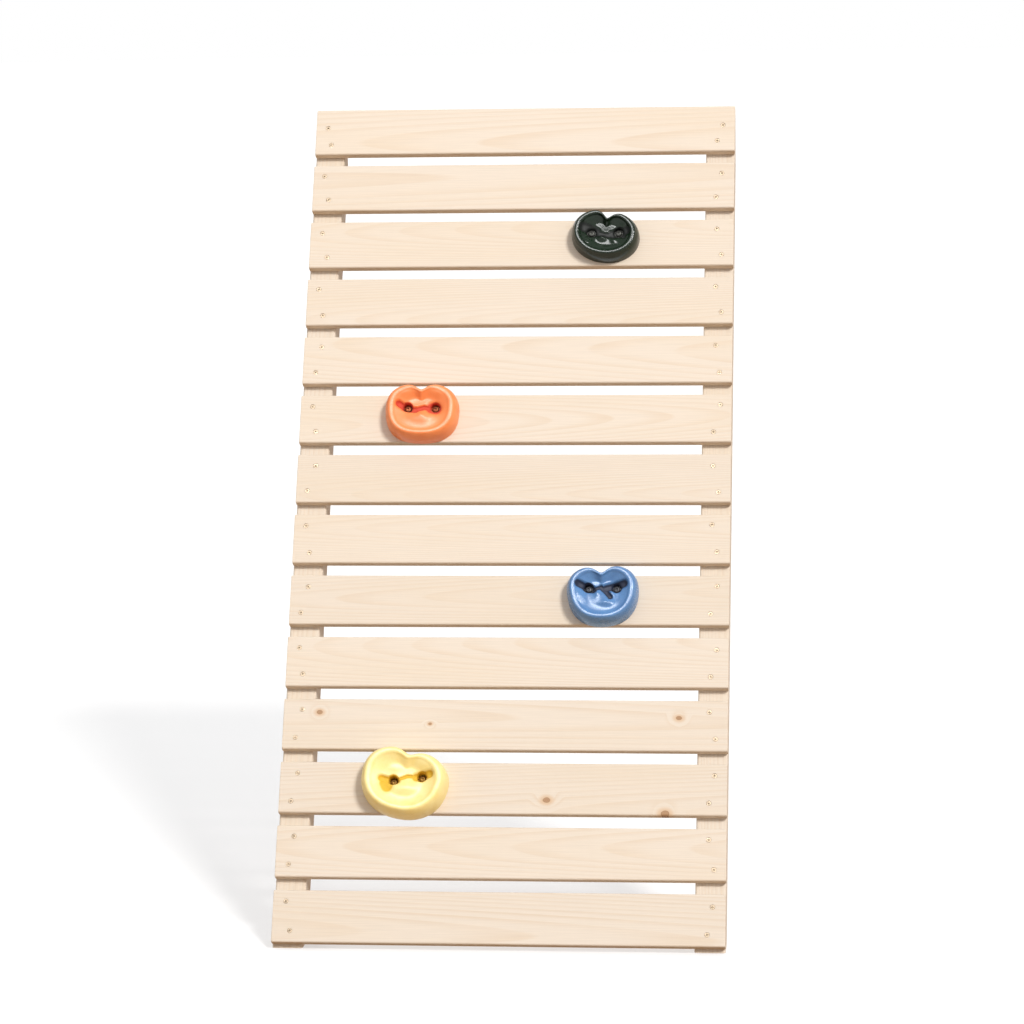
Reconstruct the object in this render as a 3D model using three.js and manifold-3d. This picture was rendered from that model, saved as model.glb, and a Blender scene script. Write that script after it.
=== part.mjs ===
// A leaning climbing wall for a playground tower: fourteen softwood slats screwed across two sloped
// side beams, with four moulded climbing holds bolted to every third slat.
//
// Millimetres, +Z up. The origin is on the ground, in the middle of the wall's footprint. A climber
// stands in front of the wall, on its -Y side, and the platform that it leans against is on its +Y side.

import * as THREE from "three";
import { mergeVertices } from "three/addons/utils/BufferGeometryUtils.js";
import Module from "manifold-3d";

const wasm = await Module();
wasm.setup();

// ---------- driving dimensions ----------

const WALL_WIDTH = 660;
const WALL_TOP = 1190; // height of the top slat's front upper edge, just below the platform's boards
const SLOPE = THREE.MathUtils.degToRad(61.6); // from the ground

const SLAT_COUNT = 14;
const SLAT_WIDTH = 78;
const SLAT_THICKNESS = 15;
const SLAT_PITCH = 97; // from one slat's lower edge to the next one's
const SLAT_EDGE_RADIUS = 2.5;

const BEAM_SIZE = 45; // square section
const BEAM_EDGE_RADIUS = 3;
const EDGE_STEPS = 2; // flats in each rounded edge
const GAP = 0.3; // between pieces that rest on each other

const BOLT_SPACING = 42; // between the two bolts of a hold
const BOLT_SHANK_RADIUS = 2.9;
const BOLT_LENGTH = 35;
const BOLT_HEAD_RADIUS = 5.5;
const BOLT_HEAD_HEIGHT = 3.3;
const HEX_SOCKET_RADIUS = 2.3;
const HEX_SOCKET_DEPTH = 1.9;

const WASHER_RADIUS = 6.2;
const WASHER_HOLE_RADIUS = 3.3;
const WASHER_THICKNESS = 1.6;

const TEE_NUT_FLANGE_RADIUS = 9.5;
const TEE_NUT_FLANGE_THICKNESS = 1.5;
const TEE_NUT_BARREL_RADIUS = 4;
const TEE_NUT_BARREL_LENGTH = 11;
const TEE_NUT_BORE_RADIUS = 3.25;
const SLAT_BOLT_HOLE_RADIUS = 4.4; // clears the tee nut's barrel

const HOLD_BOLT_HOLE_RADIUS = 3.3;
const COUNTERBORE_RADIUS = 7.2;
const COUNTERBORE_FLOOR = 9; // plastic left between the washer and the slat
const ROUND_SIDES = 12; // sides of every small round shape

// One row for each hold. slat counts from the top. x and up are the hold's middle, from the middle of
// its slat. turn tips the notch clockwise, in degrees. boltX, boltY and boltTilt place the pair of bolts.
const HOLDS = [
  {
    colour: "green", slat: 3, x: 132, up: 7, width: 106, height: 82, depth: 29,
    taper: 0.06, squareness: 2.1, notch: 15, turn: 10, bowl: 12, belly: 2,
    boltX: 0, boltY: 3, boltTilt: 0,
  },
  {
    colour: "orange", slat: 6, x: -141, up: 5, width: 112, height: 92, depth: 32,
    taper: 0.06, squareness: 2.5, notch: 11, turn: 0, bowl: 11, belly: 8,
    boltX: 0, boltY: 5, boltTilt: 0,
  },
  {
    colour: "blue", slat: 9, x: 142, up: 4, width: 106, height: 92, depth: 32,
    taper: 0.14, squareness: 2.4, notch: 13, turn: -3, bowl: 11, belly: 7,
    boltX: 0, boltY: 8, boltTilt: 0,
  },
  {
    colour: "yellow", slat: 12, x: -144, up: 4, width: 128, height: 104, depth: 37,
    taper: 0.1, squareness: 2.3, notch: 10, turn: 13, bowl: 12, belly: 5,
    boltX: 7, boltY: 3, boltTilt: 7,
  },
];
const HOLD_CREST = 0.82; // how far out the rim's crest is, as a share of the way to the outline
const HOLD_NOTCH_SPREAD = 0.3; // radians
const HOLD_ANGLES = 40;
const HOLD_INNER_RINGS = 5;
const HOLD_OUTER_RINGS = 4;
const HOLD_WALL_POWER = 2.4; // how square the rim's outer shoulder is
const BOWL_FLOOR = 0.42; // where the bowl's floor starts, as a share of the way to the outline

// ---------- worked-out sizes ----------

const SLOPE_LENGTH = (SLAT_COUNT - 1) * SLAT_PITCH + SLAT_WIDTH;
const TOP_EDGE_RUN = SLOPE_LENGTH * Math.cos(SLOPE); // how far back the top edge is from the bottom one
const BOTTOM_EDGE_HEIGHT = WALL_TOP - SLOPE_LENGTH * Math.sin(SLOPE);
const SLAT_BACK_RUN = SLAT_THICKNESS * Math.sin(SLOPE);
const WALL_RUN = TOP_EDGE_RUN + SLAT_BACK_RUN; // the top slat's back corner meets the platform
const BEAM_FRONT = -SLAT_THICKNESS - GAP; // how far the beams' front face is below the slats' face
const HOLD_SEAT = GAP; // the holds' backs above the slats' face

// ---------- colours ----------

const COLOURS = {
  slat: 0xfae9d4,
  beam: 0xf0d4aa,
  green: 0x2f5a34,
  orange: 0xff8f4c,
  blue: 0x4f84c4,
  yellow: 0xf6dc6a,
  zincSteel: 0xb9bcc0,
  blackSteel: 0x2b2b2e,
};

function wood(colour) {
  return new THREE.MeshStandardMaterial({ color: colour, roughness: 0.75, metalness: 0 });
}

function plastic(colour) {
  return new THREE.MeshStandardMaterial({ color: colour, roughness: 0.4, metalness: 0 });
}

function steel(colour) {
  return new THREE.MeshStandardMaterial({ color: colour, roughness: 0.35, metalness: 0.9 });
}

// ---------- joining and cutting ----------

function toSolid(geometry) {
  const bare = new THREE.BufferGeometry();
  bare.setAttribute("position", geometry.getAttribute("position"));
  if (geometry.index) bare.setIndex(geometry.index);
  const merged = mergeVertices(bare, 1e-4);
  return new wasm.Manifold(
    new wasm.Mesh({
      numProp: 3,
      vertProperties: merged.attributes.position.array,
      triVerts: new Uint32Array(merged.index.array),
    }),
  );
}

function toGeometry(solid) {
  const mesh = solid.getMesh();
  const geometry = new THREE.BufferGeometry();
  geometry.setAttribute("position", new THREE.BufferAttribute(mesh.vertProperties, mesh.numProp));
  geometry.setIndex(new THREE.BufferAttribute(mesh.triVerts, 1));
  geometry.computeVertexNormals();
  return geometry;
}

// A round or six-sided pin along Z, between two heights, in the middle of (x, y).
function pin(radius, low, high, x = 0, y = 0, sides = ROUND_SIDES) {
  const geometry = new THREE.CylinderGeometry(radius, radius, high - low, sides);
  geometry.rotateX(Math.PI / 2);
  geometry.translate(x, y, (low + high) / 2);
  return toSolid(geometry);
}

// A rectangle with rounded corners, in the middle of the plane.
function roundedRectangle(width, height, radius) {
  const right = width / 2 - radius;
  const top = height / 2 - radius;
  const shape = new THREE.Shape();
  const corners = [[right, top], [-right, top], [-right, -top], [right, -top]];
  corners.forEach(([x, y], quarter) => {
    const start = (quarter * Math.PI) / 2;
    for (let step = 0; step <= EDGE_STEPS; step += 1) {
      const angle = start + (step / EDGE_STEPS) * (Math.PI / 2);
      const px = x + radius * Math.cos(angle);
      const py = y + radius * Math.sin(angle);
      if (quarter === 0 && step === 0) shape.moveTo(px, py);
      else shape.lineTo(px, py);
    }
  });
  shape.closePath();
  return shape;
}

// ---------- slats ----------

// The two bolts of a hold, as [x, y] from the middle of its slat.
function boltPlaces(hold) {
  const tilt = THREE.MathUtils.degToRad(hold.boltTilt);
  return [-0.5, 0.5].map((side) => [
    hold.x + hold.boltX + side * BOLT_SPACING * Math.cos(tilt),
    hold.up + hold.boltY + side * BOLT_SPACING * Math.sin(tilt),
  ]);
}

// A slat around its own middle, with its front face at z = 0 and its length along x.
function slatGeometry(hold) {
  const shape = roundedRectangle(SLAT_THICKNESS, SLAT_WIDTH, SLAT_EDGE_RADIUS);
  const board = new THREE.ExtrudeGeometry(shape, { depth: WALL_WIDTH, bevelEnabled: false });
  board.translate(SLAT_THICKNESS / 2, 0, -WALL_WIDTH / 2);
  board.rotateY(Math.PI / 2);
  let solid = toSolid(board);
  const bolts = hold ? boltPlaces(hold) : [];
  for (const [x, y] of bolts) {
    solid = solid.subtract(pin(SLAT_BOLT_HOLE_RADIUS, -SLAT_THICKNESS - 1, 1, x, y));
  }
  return toGeometry(solid);
}

function slatMiddle(number) {
  return (SLAT_COUNT - number) * SLAT_PITCH + SLAT_WIDTH / 2;
}

function addSlats(slope) {
  for (let number = 1; number <= SLAT_COUNT; number += 1) {
    const hold = HOLDS.find((each) => each.slat === number);
    const slat = new THREE.Mesh(slatGeometry(hold), wood(COLOURS.slat));
    slat.name = `slat_${String(number).padStart(2, "0")}`;
    slat.position.y = slatMiddle(number);
    slope.add(slat);
  }
}

// ---------- side beams ----------

// A sloped beam in the wall's own frame: cut plumb where it meets the platform, and level on the ground.
function beamGeometry(x) {
  const spare = 200;
  const shape = roundedRectangle(BEAM_SIZE, BEAM_SIZE, BEAM_EDGE_RADIUS);
  const length = SLOPE_LENGTH + 2 * spare;
  const bar = new THREE.ExtrudeGeometry(shape, { depth: length, bevelEnabled: false });
  bar.rotateX(-Math.PI / 2);
  bar.translate(x, -spare, BEAM_FRONT - BEAM_SIZE / 2);
  bar.rotateX(SLOPE);
  bar.translate(0, -WALL_RUN / 2, BOTTOM_EDGE_HEIGHT);
  const platform = new THREE.BoxGeometry(WALL_WIDTH * 2, spare * 2, WALL_TOP * 2);
  platform.translate(0, WALL_RUN / 2 + spare, WALL_TOP);
  const ground = new THREE.BoxGeometry(WALL_WIDTH * 2, WALL_RUN * 2, spare * 2);
  ground.translate(0, 0, -spare);
  return toGeometry(toSolid(bar).subtract(toSolid(platform)).subtract(toSolid(ground)));
}

function addBeams(wall) {
  for (const [side, sign] of [["left", -1], ["right", 1]]) {
    const x = (sign * (WALL_WIDTH - BEAM_SIZE)) / 2;
    const beam = new THREE.Mesh(beamGeometry(x), wood(COLOURS.beam));
    beam.name = `stringer_${side}`;
    wall.add(beam);
  }
}

// ---------- climbing holds ----------

// A point of the hold's outline: a rounded heart, narrower at the bottom, notched at the top.
function outlinePoint(hold, angle) {
  const turn = THREE.MathUtils.degToRad(hold.turn);
  const own = angle + turn;
  const power = hold.squareness;
  const across = Math.abs(Math.cos(own) / (hold.width / 2)) ** power;
  const along = Math.abs(Math.sin(own) / (hold.height / 2)) ** power;
  const fromNotch = Math.atan2(Math.sin(own - Math.PI / 2), Math.cos(own - Math.PI / 2));
  const notch = hold.notch * Math.exp(-((fromNotch / HOLD_NOTCH_SPREAD) ** 2));
  const radius = (across + along) ** (-1 / power) - notch;
  const x = radius * Math.cos(own) * (1 + hold.taper * Math.sin(own));
  const y = radius * Math.sin(own);
  return [
    x * Math.cos(turn) + y * Math.sin(turn),
    y * Math.cos(turn) - x * Math.sin(turn),
  ];
}

// The hold's height at (x, y), which is a share of the way from its middle to its outline.
function surfaceHeight(hold, share, x, y) {
  if (share >= HOLD_CREST) {
    const out = Math.min(1, (share - HOLD_CREST) / (1 - HOLD_CREST));
    return hold.depth * (1 - out ** HOLD_WALL_POWER) ** (1 / HOLD_WALL_POWER);
  }
  const inward = 1 - THREE.MathUtils.smoothstep(share, BOWL_FLOOR, HOLD_CREST);
  const acrossBelly = x / (0.3 * hold.width);
  const upBelly = (y + 0.16 * hold.height) / (0.2 * hold.height);
  const belly = hold.belly * Math.exp(-(acrossBelly ** 2) - upBelly ** 2);
  return hold.depth - inward * (hold.bowl - belly);
}

function holdRings() {
  const rings = [];
  for (let ring = 1; ring <= HOLD_INNER_RINGS; ring += 1) {
    rings.push((HOLD_CREST * ring) / HOLD_INNER_RINGS);
  }
  for (let ring = 1; ring <= HOLD_OUTER_RINGS; ring += 1) {
    const angle = (ring / HOLD_OUTER_RINGS) * (Math.PI / 2);
    rings.push(HOLD_CREST + (1 - HOLD_CREST) * Math.sin(angle) ** (2 / HOLD_WALL_POWER));
  }
  return rings;
}

// The moulded body: rings of points from its middle out to its outline, closed by a flat back.
function holdBody(hold) {
  const points = [0, 0, surfaceHeight(hold, 0, 0, 0)];
  const faces = [];
  const rings = holdRings();
  const pointAt = (ring, step) => 1 + ring * HOLD_ANGLES + (step % HOLD_ANGLES);
  rings.forEach((share, ring) => {
    for (let step = 0; step < HOLD_ANGLES; step += 1) {
      const [edgeX, edgeY] = outlinePoint(hold, (step / HOLD_ANGLES) * 2 * Math.PI);
      const x = share * edgeX;
      const y = share * edgeY;
      points.push(x, y, surfaceHeight(hold, share, x, y));
      const next = step + 1;
      if (ring === 0) {
        faces.push(0, pointAt(0, step), pointAt(0, next));
      } else {
        faces.push(pointAt(ring - 1, step), pointAt(ring, step), pointAt(ring, next));
        faces.push(pointAt(ring - 1, step), pointAt(ring, next), pointAt(ring - 1, next));
      }
    }
  });
  const back = points.length / 3;
  const last = rings.length - 1;
  points.push(0, 0, 0);
  for (let step = 0; step < HOLD_ANGLES; step += 1) {
    faces.push(back, pointAt(last, step + 1), pointAt(last, step));
  }
  const geometry = new THREE.BufferGeometry();
  geometry.setAttribute("position", new THREE.Float32BufferAttribute(points, 3));
  geometry.setIndex(faces);
  return toSolid(geometry);
}

// The finished hold around its own middle, with a counterbored hole for each bolt.
function holdGeometry(hold) {
  let solid = holdBody(hold);
  for (const [slatX, slatY] of boltPlaces(hold)) {
    const x = slatX - hold.x;
    const y = slatY - hold.up;
    solid = solid.subtract(pin(HOLD_BOLT_HOLE_RADIUS, -1, hold.depth + 1, x, y));
    solid = solid.subtract(pin(COUNTERBORE_RADIUS, COUNTERBORE_FLOOR, hold.depth + 1, x, y));
  }
  return toGeometry(solid);
}

// ---------- fasteners, each along z around its own axis ----------

function turned(profile) {
  const points = profile.map(([radius, height]) => new THREE.Vector2(radius, height));
  const geometry = new THREE.LatheGeometry(points, ROUND_SIDES);
  geometry.rotateX(Math.PI / 2);
  return toSolid(geometry);
}

// A button-head bolt with a hexagon socket. The underside of its head is at z = 0.
function boltGeometry() {
  const rim = 1.2;
  const crown = BOLT_HEAD_RADIUS * 0.62;
  const solid = turned([
    [0, -BOLT_LENGTH],
    [BOLT_SHANK_RADIUS - 0.8, -BOLT_LENGTH],
    [BOLT_SHANK_RADIUS, -BOLT_LENGTH + 0.8],
    [BOLT_SHANK_RADIUS, 0],
    [BOLT_HEAD_RADIUS, 0],
    [BOLT_HEAD_RADIUS, rim],
    [crown, BOLT_HEAD_HEIGHT],
    [0, BOLT_HEAD_HEIGHT],
  ]);
  const socketFloor = BOLT_HEAD_HEIGHT - HEX_SOCKET_DEPTH;
  const socket = pin(HEX_SOCKET_RADIUS, socketFloor, BOLT_HEAD_HEIGHT + 1, 0, 0, 6);
  return toGeometry(solid.subtract(socket));
}

// A flat washer standing on z = 0.
function washerGeometry() {
  return toGeometry(
    pin(WASHER_RADIUS, 0, WASHER_THICKNESS).subtract(
      pin(WASHER_HOLE_RADIUS, -1, WASHER_THICKNESS + 1),
    ),
  );
}

// A tee nut: its flange's front face is at z = 0, and its barrel reaches forward into the slat.
function teeNutGeometry() {
  const body = turned([
    [0, -TEE_NUT_FLANGE_THICKNESS],
    [TEE_NUT_FLANGE_RADIUS, -TEE_NUT_FLANGE_THICKNESS],
    [TEE_NUT_FLANGE_RADIUS, 0],
    [TEE_NUT_BARREL_RADIUS, 0],
    [TEE_NUT_BARREL_RADIUS, TEE_NUT_BARREL_LENGTH],
    [0, TEE_NUT_BARREL_LENGTH],
  ]);
  const bore = pin(TEE_NUT_BORE_RADIUS, -TEE_NUT_FLANGE_THICKNESS - 1, TEE_NUT_BARREL_LENGTH + 1);
  return toGeometry(body.subtract(bore));
}

// A hold on its slat, with its bolts, washers and tee nuts.
function addHold(slope, hold) {
  const seat = new THREE.Group();
  seat.position.y = slatMiddle(hold.slat);
  slope.add(seat);

  const body = new THREE.Mesh(holdGeometry(hold), plastic(COLOURS[hold.colour]));
  body.name = `hold_${hold.colour}`;
  body.position.set(hold.x, hold.up, HOLD_SEAT);
  seat.add(body);

  const washerSeat = HOLD_SEAT + COUNTERBORE_FLOOR + GAP;
  const headSeat = washerSeat + WASHER_THICKNESS + GAP;
  const nutSeat = -SLAT_THICKNESS - GAP;
  boltPlaces(hold).forEach(([x, y], index) => {
    const side = index === 0 ? "left" : "right";
    const fasteners = [
      ["hold_bolt", boltGeometry(), headSeat, COLOURS.blackSteel],
      ["hold_washer", washerGeometry(), washerSeat, COLOURS.blackSteel],
      ["hold_tee_nut", teeNutGeometry(), nutSeat, COLOURS.zincSteel],
    ];
    for (const [kind, geometry, z, colour] of fasteners) {
      const fastener = new THREE.Mesh(geometry, steel(colour));
      fastener.name = `${kind}_${hold.colour}_${side}`;
      fastener.position.set(x, y, z);
      seat.add(fastener);
    }
  });
}

// ---------- the wall ----------

const wall = new THREE.Group();

// The slope's frame: y runs up the slats' front face from its bottom edge, and z stands out of it.
const slope = new THREE.Group();
slope.position.set(0, -WALL_RUN / 2, BOTTOM_EDGE_HEIGHT);
slope.rotation.x = SLOPE;
wall.add(slope);

addBeams(wall);
addSlats(slope);
HOLDS.forEach((hold) => addHold(slope, hold));

export default wall;
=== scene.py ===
"""Looks for the sloped climbing wall: spruce slats on two side beams, with four moulded climbing holds.

Sizes are in millimetres until a mesh is made, and in metres after that. Slats, holds and fasteners are
built in the slope's own frame: x across the wall, y up the slats' front face, z out of that face.
"""

import math
import random

import bmesh
import bpy
from mathutils import Matrix, Vector


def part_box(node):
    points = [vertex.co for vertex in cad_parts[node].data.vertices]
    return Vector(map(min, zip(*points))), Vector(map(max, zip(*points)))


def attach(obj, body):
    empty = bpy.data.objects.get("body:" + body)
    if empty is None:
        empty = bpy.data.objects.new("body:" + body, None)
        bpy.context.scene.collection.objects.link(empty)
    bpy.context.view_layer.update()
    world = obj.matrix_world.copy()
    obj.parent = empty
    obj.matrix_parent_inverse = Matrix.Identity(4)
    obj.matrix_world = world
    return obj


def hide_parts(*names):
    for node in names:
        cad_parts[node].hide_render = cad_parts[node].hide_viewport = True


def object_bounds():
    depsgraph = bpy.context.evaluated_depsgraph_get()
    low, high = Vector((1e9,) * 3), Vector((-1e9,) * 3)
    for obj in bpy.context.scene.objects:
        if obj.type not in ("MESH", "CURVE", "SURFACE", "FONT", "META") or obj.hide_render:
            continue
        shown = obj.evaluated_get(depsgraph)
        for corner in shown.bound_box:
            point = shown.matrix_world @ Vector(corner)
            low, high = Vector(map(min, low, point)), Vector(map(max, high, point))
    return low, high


MM = 0.001

# ---------- sizes shared with the CAD part, in millimetres ----------

SLOPE = math.radians(61.6)
SLAT_COUNT = 14
SLAT_LENGTH = 660
SLAT_WIDTH = 78
SLAT_THICKNESS = 15
SLAT_PITCH = 97
SLAT_EDGE_RADIUS = 2.85  # a smooth arc this wide stays inside the CAD part's flatter 2.5 mm one
BEAM_SIZE = 45
BEAM_EDGE_RADIUS = 3
WALL_TOP = 1190
GAP = 0.3  # between touching pieces

BOLT_SPACING = 42
BOLT_SHANK_RADIUS = 2.9
BOLT_LENGTH = 35
BOLT_HEAD_RADIUS = 5.5
BOLT_HEAD_HEIGHT = 3.3
HEX_SOCKET_RADIUS = 2.3
HEX_SOCKET_DEPTH = 1.9
WASHER_RADIUS = 6.2
WASHER_HOLE_RADIUS = 3.3
WASHER_THICKNESS = 1.6
TEE_NUT_RADIUS = 9.5
TEE_NUT_THICKNESS = 1.5
TEE_NUT_BARREL_RADIUS = 4
TEE_NUT_BARREL_LENGTH = 11
TEE_NUT_BORE_RADIUS = 3.25
SLAT_BOLT_HOLE_RADIUS = 4.4
HOLD_BOLT_HOLE_RADIUS = 3.3
COUNTERBORE_RADIUS = 7.2
COUNTERBORE_FLOOR = 9

# x, up: the hold's middle from its slat's middle. turn tips the notch clockwise, in degrees.
HOLDS = [
    dict(colour="green", slat=3, x=132, up=7, width=106, height=82, depth=29, taper=0.06,
         squareness=2.1, notch=15, turn=10, bowl=12, belly=2, bolt_x=0, bolt_y=3, bolt_tilt=0),
    dict(colour="orange", slat=6, x=-141, up=5, width=112, height=92, depth=32, taper=0.06,
         squareness=2.5, notch=11, turn=0, bowl=11, belly=8, bolt_x=0, bolt_y=5, bolt_tilt=0),
    dict(colour="blue", slat=9, x=142, up=4, width=106, height=92, depth=32, taper=0.14,
         squareness=2.4, notch=13, turn=-3, bowl=11, belly=7, bolt_x=0, bolt_y=8, bolt_tilt=0),
    dict(colour="yellow", slat=12, x=-144, up=4, width=128, height=104, depth=37, taper=0.1,
         squareness=2.3, notch=10, turn=13, bowl=12, belly=5, bolt_x=7, bolt_y=3, bolt_tilt=7),
]
HOLD_CREST = 0.82  # where a hold is highest, as a share of the way from its middle to its outline
BOWL_FLOOR = 0.42  # how far out, as such a share, its hollow stays at its deepest
HOLD_NOTCH_SPREAD = 0.3  # half the notch's width, in radians
HOLD_WALL_POWER = 2.4  # how squarely the outer wall turns down from the crest: 2 would be an ellipse

SLOPE_LENGTH = (SLAT_COUNT - 1) * SLAT_PITCH + SLAT_WIDTH
WALL_RUN = SLOPE_LENGTH * math.cos(SLOPE) + SLAT_THICKNESS * math.sin(SLOPE)
BOTTOM_EDGE_HEIGHT = WALL_TOP - SLOPE_LENGTH * math.sin(SLOPE)

# ---------- heights over the slats' front face, in millimetres ----------

WASHER_BACK = GAP + COUNTERBORE_FLOOR + GAP
BOLT_SEAT = WASHER_BACK + WASHER_THICKNESS + GAP
TEE_NUT_FRONT = -SLAT_THICKNESS - GAP
BEAM_FRONT = -SLAT_THICKNESS - GAP

# ---------- slat screws, in millimetres ----------

SCREW_HEAD_RADIUS = 3.6
SCREW_HEAD_SUNK = 0.35
SCREW_RIM = 0.5
SCREW_CONE = 0.95  # height of the cone under the head for each millimetre that it narrows
SCREW_CORE_RADIUS = 1.5
SCREW_THREAD_RADIUS = 2.0
SCREW_LENGTH = 30
SCREW_PITCH = 2.4
SCREW_TIP_RADIUS = 0.15
SCREW_TIP_LENGTH = 3
SCREW_PLAIN_LENGTH = 9  # without thread, between the cone and the thread
SCREW_RECESS_DEPTH = 1.9
SCREW_UP = 21  # each screw's distance from the slat's middle line
TOP_SLAT_UPPER_SCREW_UP = 6  # lower, so that it still has the beam's cut end behind it
SCREW_STAGGER = 4  # half the sideways distance between a slat end's two screws
SCREW_WANDER = 1.6  # how far a hand-driven screw strays from its place
SCREW_HOLE_CLEARANCE = 0.25  # around the head
SCREW_SHANK_CLEARANCE = 0.15
SCREW_SEAT_CLEARANCE = 0.2  # under the head
PILOT_CLEARANCE = 0.1

# ---------- bolt threads and edges, in millimetres ----------

BOLT_PITCH = 1.25
BOLT_THREAD_DEPTH = 0.6
BOLT_PLAIN_LENGTH = 14  # without thread, under the head
BOLT_DOME_FROM = 0.7  # height of the head's upright side
BOLT_DOME_TURN = math.radians(62)
EDGE_EASE = 0.25  # on washers and tee nuts
TIMBER_EASE = 0.9  # on the sawn ends of slats and beams
CUT_PAST = 1  # how far a cutter reaches past what it cuts


# ---------- meshes ----------

def mesh_from(name, points, faces):
    """A mesh from points in millimetres, with its faces turned outward."""
    mesh = bpy.data.meshes.new(name)
    mesh.from_pydata([(x * MM, y * MM, z * MM) for x, y, z in points], [], faces)
    shape = bmesh.new()
    shape.from_mesh(mesh)
    bmesh.ops.remove_doubles(shape, verts=shape.verts, dist=1e-7)
    bmesh.ops.recalc_face_normals(shape, faces=shape.faces)
    shape.to_mesh(mesh)
    shape.free()
    return mesh


def placed(name, mesh, place):
    """An object at the origin that shows mesh moved to place, as the CAD nodes do."""
    mesh.transform(place)
    piece = bpy.data.objects.new(name, mesh)
    bpy.context.scene.collection.objects.link(piece)
    return piece


def side_faces(ring_count, count, looped=False):
    """Faces from each ring of count points to the next, and from the last to the first if looped."""
    faces = []
    for ring in range(ring_count if looped else ring_count - 1):
        here = ring * count
        there = (ring + 1) % ring_count * count
        for step in range(count):
            after = (step + 1) % count
            faces.append((here + step, here + after, there + after, there + step))
    return faces


def ring_stack(name, rings, first_point=None):
    """Joins rings of points, each with as many, into a closed skin with a flat face at each end.

    If first_point is given, the first end closes on that point instead.
    """
    count = len(rings[0])
    points = [point for ring in rings for point in ring]
    faces = side_faces(len(rings), count)
    if first_point is None:
        faces.append(tuple(range(count)))
    else:
        middle = len(points)
        points.append(first_point)
        faces += [(middle, step, (step + 1) % count) for step in range(count)]
    last = (len(rings) - 1) * count
    faces.append(tuple(range(last, last + count)))
    return mesh_from(name, points, faces)


def ring_loop(name, rings):
    """Joins rings of points, each with as many, into a closed skin with a hole through its middle."""
    points = [point for ring in rings for point in ring]
    return mesh_from(name, points, side_faces(len(rings), len(rings[0]), looped=True))


def circle(radius, height, sides, x=0, y=0):
    """A ring of points around the z axis, or around (x, y)."""
    turns = [2 * math.pi * side / sides for side in range(sides)]
    return [(x + radius * math.cos(turn), y + radius * math.sin(turn), height) for turn in turns]


def turned(name, profile, sides, x=0, y=0):
    """A solid turned on a lathe from (radius, height) pairs, closed flat at both ends."""
    return ring_stack(name, [circle(radius, height, sides, x, y) for radius, height in profile])


def rounded_rectangle(width, height, radius):
    """The corner points of a rectangle with rounded corners around the origin, as (y, z) pairs."""
    steps = 6
    points = []
    for quarter, (side_y, side_z) in enumerate(((1, 1), (-1, 1), (-1, -1), (1, -1))):
        centre_y = side_y * (width / 2 - radius)
        centre_z = side_z * (height / 2 - radius)
        for step in range(steps + 1):
            turn = (quarter + step / steps) * math.pi / 2
            points.append((centre_y + radius * math.cos(turn), centre_z + radius * math.sin(turn)))
    return points


def timber(name, width, thickness, radius, start, end, stations):
    """A bar along x with rounded long edges and eased ends. start and end give its x at each height z."""
    rings = []
    ease_shares = [0, 0.25, 0.6, 1]

    def ring(inset, sawn, back_off):
        section = rounded_rectangle(width - 2 * inset, thickness - 2 * inset, radius)
        return [(sawn(z) + back_off, y, z) for y, z in section]

    def eased_ring(share, sawn, inward):
        inset = TIMBER_EASE * (1 - math.sqrt(1 - (1 - share) ** 2))
        return ring(inset, sawn, inward * TIMBER_EASE * share)

    for share in ease_shares:
        rings.append(eased_ring(share, start, 1))
    for station in range(1, stations):
        along = station / stations
        rings.append(ring(0, lambda z, a=along: start(z) * (1 - a) + end(z) * a, 0))
    for share in reversed(ease_shares):
        rings.append(eased_ring(share, end, -1))
    return ring_stack(name, rings)


def joined(meshes):
    """One mesh that holds all the given ones."""
    shape = bmesh.new()
    for mesh in meshes:
        shape.from_mesh(mesh)
        bpy.data.meshes.remove(mesh)
    whole = bpy.data.meshes.new("joined")
    shape.to_mesh(whole)
    shape.free()
    return whole


def cut(mesh, cutter):
    """mesh less the solids in cutter, which must not overlap each other."""
    body = bpy.data.objects.new("cut_body", mesh)
    tool = bpy.data.objects.new("cut_tool", cutter)
    for each in (body, tool):
        bpy.context.scene.collection.objects.link(each)
    boolean = body.modifiers.new("cut", "BOOLEAN")
    boolean.operation = "DIFFERENCE"
    boolean.solver = "EXACT"
    boolean.object = tool
    seen = body.evaluated_get(bpy.context.evaluated_depsgraph_get())
    result = bpy.data.meshes.new_from_object(seen)
    result.name = mesh.name
    for each in (body, tool):
        bpy.data.objects.remove(each)
    bpy.data.meshes.remove(mesh)
    bpy.data.meshes.remove(cutter)
    return result


def shade(piece, sharp_degrees=32):
    """Smooth shading that keeps edges over the given angle crisp and wide flat faces flat."""
    for face in piece.data.polygons:
        face.use_smooth = True
    piece.data.set_sharp_from_angle(angle=math.radians(sharp_degrees))
    even = piece.modifiers.new("even_normals", "WEIGHTED_NORMAL")
    even.keep_sharp = True
    even.weight = 100


def finish_piece(piece, material, slot, *replaced):
    """Gives a piece its material and its body, and hides the CAD nodes that it stands for. slot is not
    used.
    """
    piece.data.materials.clear()
    piece.data.materials.append(material)
    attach(piece, "root")
    if replaced:
        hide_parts(*replaced)


# ---------- procedural materials ----------

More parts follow.
